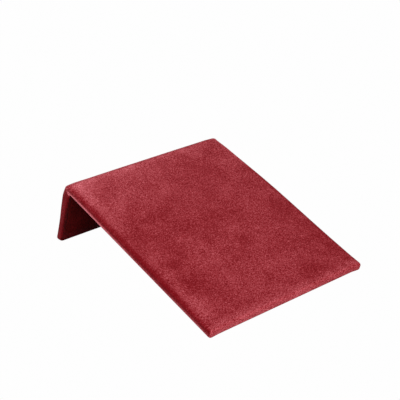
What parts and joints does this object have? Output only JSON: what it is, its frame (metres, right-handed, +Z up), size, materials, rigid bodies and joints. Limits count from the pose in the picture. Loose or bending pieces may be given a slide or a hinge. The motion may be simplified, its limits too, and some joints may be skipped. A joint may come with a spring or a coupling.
{
  "type": "display ramp",
  "caption": "Suede-covered display ramp: a flat sloping face held up at the back by a short leg, joined at a rounded ridge.",
  "frame": {"origin": "on the table, under the middle of the ramp's bounding box", "axes": "+X across the ramp from its left side to its right as seen from the front, +Y from the low front end to the leg at the back, +Z up"},
  "size_m": [0.1, 0.1262, 0.0364],
  "materials": {
    "crimson_suede": "short brushed nap, cloudy mottle, soft sheen",
    "lining_suede": "short brushed nap",
    "grey_board": "matte pressed paperboard",
    "gummed_paper": "brown kraft paper",
    "cream_card": "uncoated card"
  },
  "bodies": {
    "root": {"suede_cover": "crimson_suede", "inner_lining": "lining_suede", "face_board": "grey_board", "leg_board": "grey_board", "ridge_tape": "gummed_paper", "corner_tape": "gummed_paper", "face_infill_card": "cream_card", "leg_infill_card": "cream_card"}
  },
  "joints": []
}
